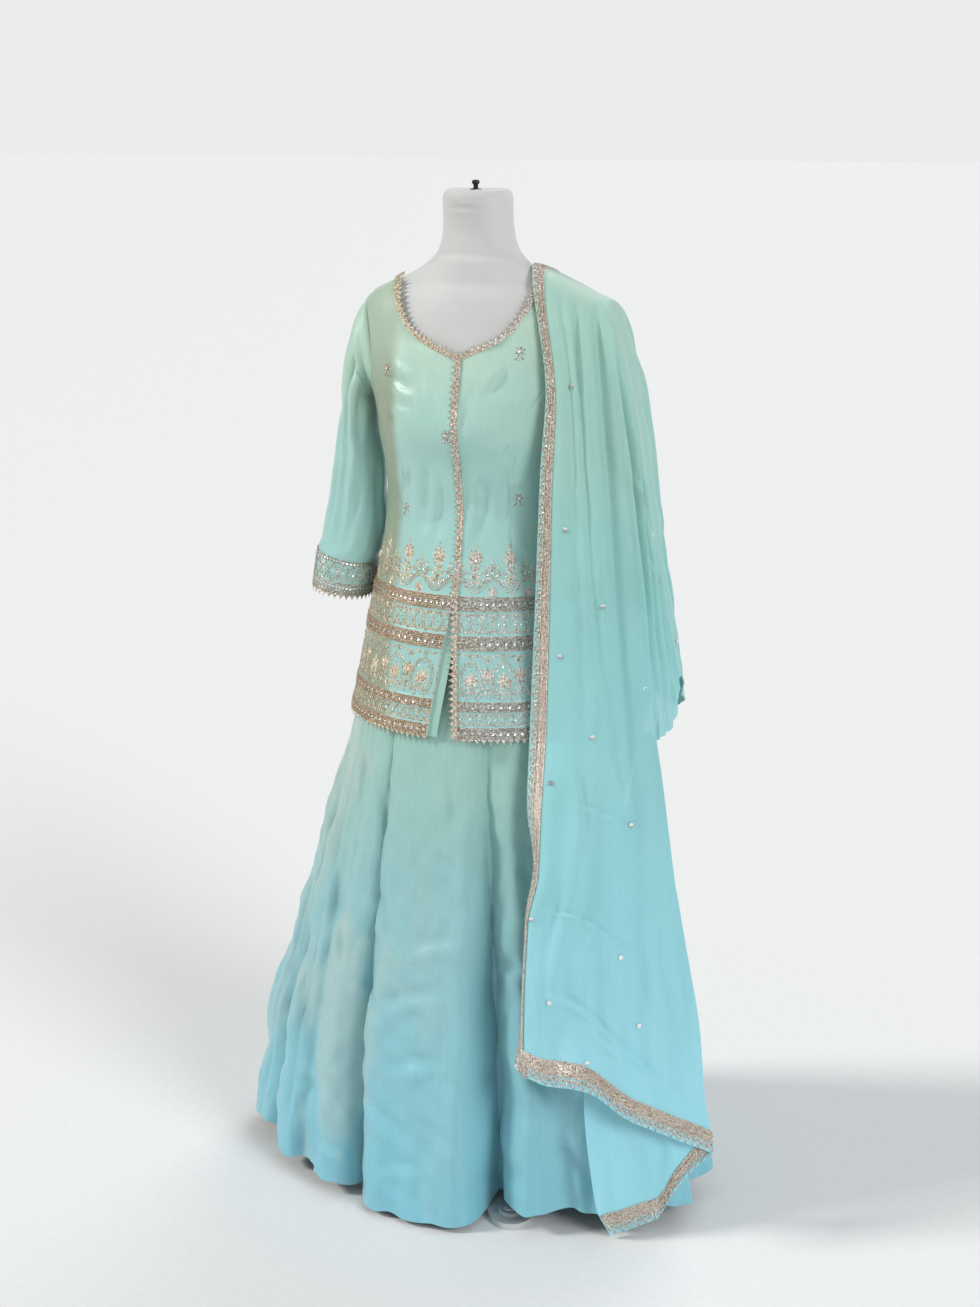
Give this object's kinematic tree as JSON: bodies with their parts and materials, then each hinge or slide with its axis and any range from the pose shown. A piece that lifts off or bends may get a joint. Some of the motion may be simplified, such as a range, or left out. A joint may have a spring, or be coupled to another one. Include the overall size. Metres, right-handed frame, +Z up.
{
  "type": "lehenga set on a limbless dress form",
  "caption": "Front-open kurti with three-quarter sleeves, flared panelled skirt and a shoulder-draped dupatta with metallic lace, on a limbless dress form with a floor stand.",
  "frame": {"origin": "centre of the stand base's underside, on the floor, under the pole", "axes": "+Z up, -Y the garment's front, +X the wearer's left"},
  "size_m": [0.763, 0.4918, 1.473],
  "materials": {
    "form_cover": "matt stretch cover over a smooth torso",
    "stand_metal": "satin grey enamel",
    "kurti_silk": "fine satin-back silk, mint green, soft sheen",
    "skirt_silk": "fine satin-back silk, aqua, soft sheen",
    "dupatta_chiffon": "light crepe chiffon, aqua mint",
    "zari_lace": "antique gold and silver metallic thread"
  },
  "bodies": {
    "root": {"dress_form": "form_cover", "stand_base": "stand_metal", "stand_collar": "stand_metal", "stand_pole": "stand_metal", "kurti_front_right": "kurti_silk", "kurti_side_front_right": "kurti_silk", "sleeve_right": "kurti_silk", "cuff_band_right": "zari_lace", "neck_lace_right": "zari_lace", "kurti_front_left": "kurti_silk", "kurti_side_front_left": "kurti_silk", "sleeve_left": "kurti_silk", "cuff_band_left": "zari_lace", "neck_lace_left": "zari_lace", "kurti_back": "kurti_silk", "neck_lace_back": "zari_lace", "slit_facing": "kurti_silk", "skirt_waistband": "skirt_silk", "skirt_panel_1": "skirt_silk", "skirt_panel_2": "skirt_silk", "skirt_panel_3": "skirt_silk", "skirt_panel_4": "skirt_silk", "skirt_panel_5": "skirt_silk", "skirt_panel_6": "skirt_silk", "skirt_panel_7": "skirt_silk", "skirt_panel_8": "skirt_silk", "skirt_panel_9": "skirt_silk", "skirt_panel_10": "skirt_silk", "skirt_panel_11": "skirt_silk", "skirt_panel_12": "skirt_silk", "dupatta_over_shoulder": "dupatta_chiffon", "dupatta_front_end": "dupatta_chiffon", "dupatta_back_end": "dupatta_chiffon", "border_over_shoulder": "zari_lace", "border_front_side": "zari_lace", "border_front_hem": "zari_lace", "border_back_side": "zari_lace", "border_back_hem": "zari_lace"}
  },
  "joints": []
}
